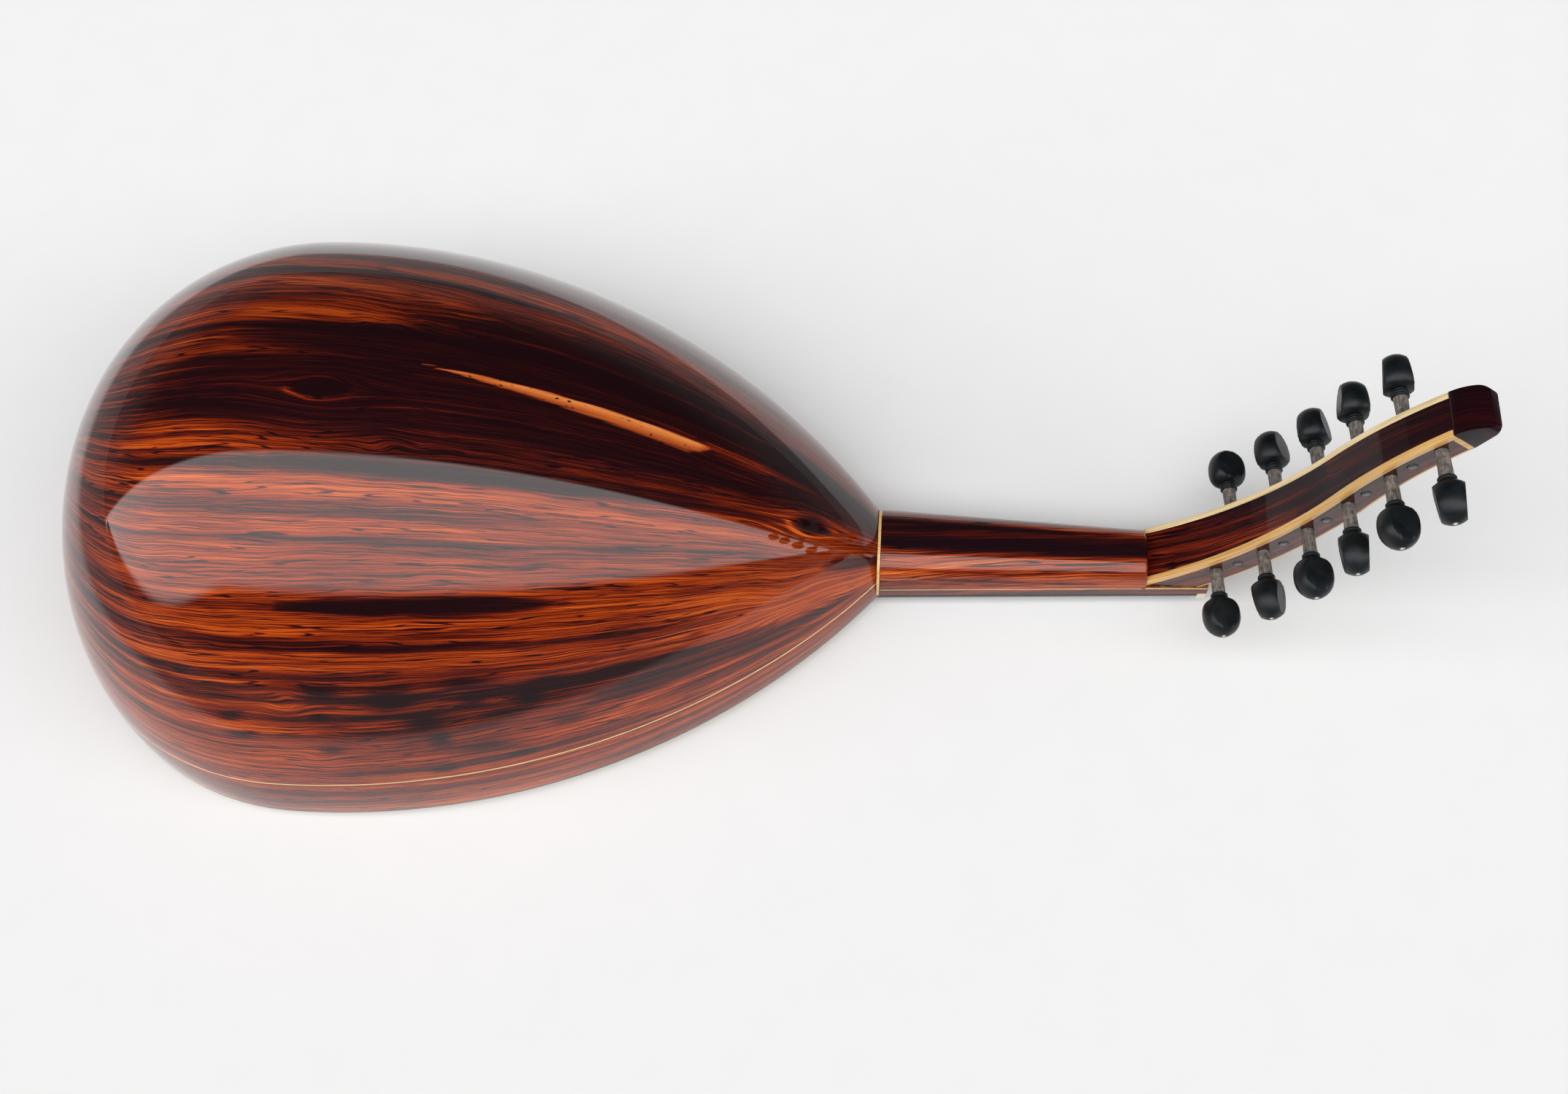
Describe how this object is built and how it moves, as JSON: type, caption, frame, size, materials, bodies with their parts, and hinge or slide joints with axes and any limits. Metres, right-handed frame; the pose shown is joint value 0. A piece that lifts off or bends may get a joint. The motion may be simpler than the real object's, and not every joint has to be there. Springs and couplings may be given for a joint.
{
  "type": "oud",
  "caption": "Short-necked lute with a deep ribbed bowl, flat soundboard with pierced rosettes, and a bent-back S-curved pegbox whose tapered pegs turn.",
  "frame": {"origin": "middle of the bounding box in X and Y, on the plane through the bridge's lowest face, which the instrument lies on face down", "axes": "+X from the tail towards the head, +Y to the player's peg side with five pegs, +Z out of the back of the bowl"},
  "size_m": [0.784, 0.3512, 0.2025],
  "materials": {
    "rib_wood": "figured red-brown rosewood under a deep gloss lacquer",
    "dark_wood": "dark rosewood under gloss lacquer",
    "neck_wood": "straight-grained rosewood under gloss lacquer",
    "pale_wood": "maple yellowed by the lacquer",
    "soundboard_wood": "quartered spruce, satin",
    "rosette_wood": "pierced thin wood, satin",
    "black_wood": "turned ebony, matt",
    "block_wood": "raw lime wood",
    "bone": "polished bone",
    "plain_string": "clear nylon",
    "wound_string": "silvered copper wire wound on a silk core"
  },
  "bodies": {
    "root": {"rib_1": "rib_wood", "rib_2": "rib_wood", "rib_3": "rib_wood", "rib_4": "rib_wood", "rib_5": "rib_wood", "rib_6": "rib_wood", "rib_7": "rib_wood", "rib_8": "rib_wood", "rib_9": "rib_wood", "rib_10": "rib_wood", "rib_11": "rib_wood", "rib_12": "rib_wood", "rim_band_right": "rib_wood", "rim_band_left": "rib_wood", "end_clasp": "dark_wood", "neck_block": "block_wood", "tail_block": "block_wood", "soundboard": "soundboard_wood", "main_rosette": "rosette_wood", "side_rosette_left": "rosette_wood", "side_rosette_right": "rosette_wood", "brace_1": "soundboard_wood", "brace_2": "soundboard_wood", "brace_3": "soundboard_wood", "brace_4": "soundboard_wood", "brace_5": "soundboard_wood", "pickguard": "dark_wood", "bridge": "dark_wood", "neck": "neck_wood", "joint_ring": "pale_wood", "fingerboard": "black_wood", "nut": "bone", "pegbox_back": "dark_wood", "pegbox_wall_right": "neck_wood", "pegbox_wall_left": "neck_wood", "pegbox_edge_right": "pale_wood", "pegbox_edge_left": "pale_wood", "head_block": "dark_wood", "string_1": "wound_string", "string_2": "wound_string", "string_3": "wound_string", "string_4": "wound_string", "string_5": "wound_string", "string_6": "plain_string", "string_7": "plain_string", "string_8": "plain_string", "string_9": "plain_string", "string_10": "plain_string", "string_11": "plain_string"},
    "peg_right_1": {"peg_right_1": "black_wood"},
    "peg_right_2": {"peg_right_2": "black_wood"},
    "peg_right_3": {"peg_right_3": "black_wood"},
    "peg_right_4": {"peg_right_4": "black_wood"},
    "peg_right_5": {"peg_right_5": "black_wood"},
    "peg_right_6": {"peg_right_6": "black_wood"},
    "peg_left_1": {"peg_left_1": "black_wood"},
    "peg_left_2": {"peg_left_2": "black_wood"},
    "peg_left_3": {"peg_left_3": "black_wood"},
    "peg_left_4": {"peg_left_4": "black_wood"},
    "peg_left_5": {"peg_left_5": "black_wood"}
  },
  "joints": [
    {"name": "peg_right_1_turn", "type": "hinge", "parent": "root", "child": "peg_right_1", "pos_m": [0.28286, 0, 0.04158], "axis": [0.0373, -0.9986, 0.0367], "continuous": true},
    {"name": "peg_right_2_turn", "type": "hinge", "parent": "root", "child": "peg_right_2", "pos_m": [0.30448, 0, 0.06581], "axis": [0.0322, -0.9986, 0.0413], "continuous": true},
    {"name": "peg_right_3_turn", "type": "hinge", "parent": "root", "child": "peg_right_3", "pos_m": [0.32274, 0, 0.09268], "axis": [0.0265, -0.9986, 0.0451], "continuous": true},
    {"name": "peg_right_4_turn", "type": "hinge", "parent": "root", "child": "peg_right_4", "pos_m": [0.33731, 0, 0.1217], "axis": [0.0204, -0.9986, 0.0482], "continuous": true},
    {"name": "peg_right_5_turn", "type": "hinge", "parent": "root", "child": "peg_right_5", "pos_m": [0.35113, 0, 0.15109], "axis": [0.0253, -0.9986, 0.0458], "continuous": true},
    {"name": "peg_right_6_turn", "type": "hinge", "parent": "root", "child": "peg_right_6", "pos_m": [0.36868, 0, 0.17842], "axis": [0.0311, -0.9986, 0.0421], "continuous": true},
    {"name": "peg_left_1_turn", "type": "hinge", "parent": "root", "child": "peg_left_1", "pos_m": [0.2929, 0, 0.05204], "axis": [-0.0351, 0.9986, -0.0388], "continuous": true},
    {"name": "peg_left_2_turn", "type": "hinge", "parent": "root", "child": "peg_left_2", "pos_m": [0.31306, 0, 0.0775], "axis": [-0.0297, 0.9986, -0.0431], "continuous": true},
    {"name": "peg_left_3_turn", "type": "hinge", "parent": "root", "child": "peg_left_3", "pos_m": [0.32971, 0, 0.10538], "axis": [-0.0238, 0.9986, -0.0466], "continuous": true},
    {"name": "peg_left_4_turn", "type": "hinge", "parent": "root", "child": "peg_left_4", "pos_m": [0.34302, 0, 0.13502], "axis": [-0.0219, 0.9986, -0.0476], "continuous": true},
    {"name": "peg_left_5_turn", "type": "hinge", "parent": "root", "child": "peg_left_5", "pos_m": [0.35851, 0, 0.16356], "axis": [-0.028, 0.9986, -0.0442], "continuous": true}
  ]
}
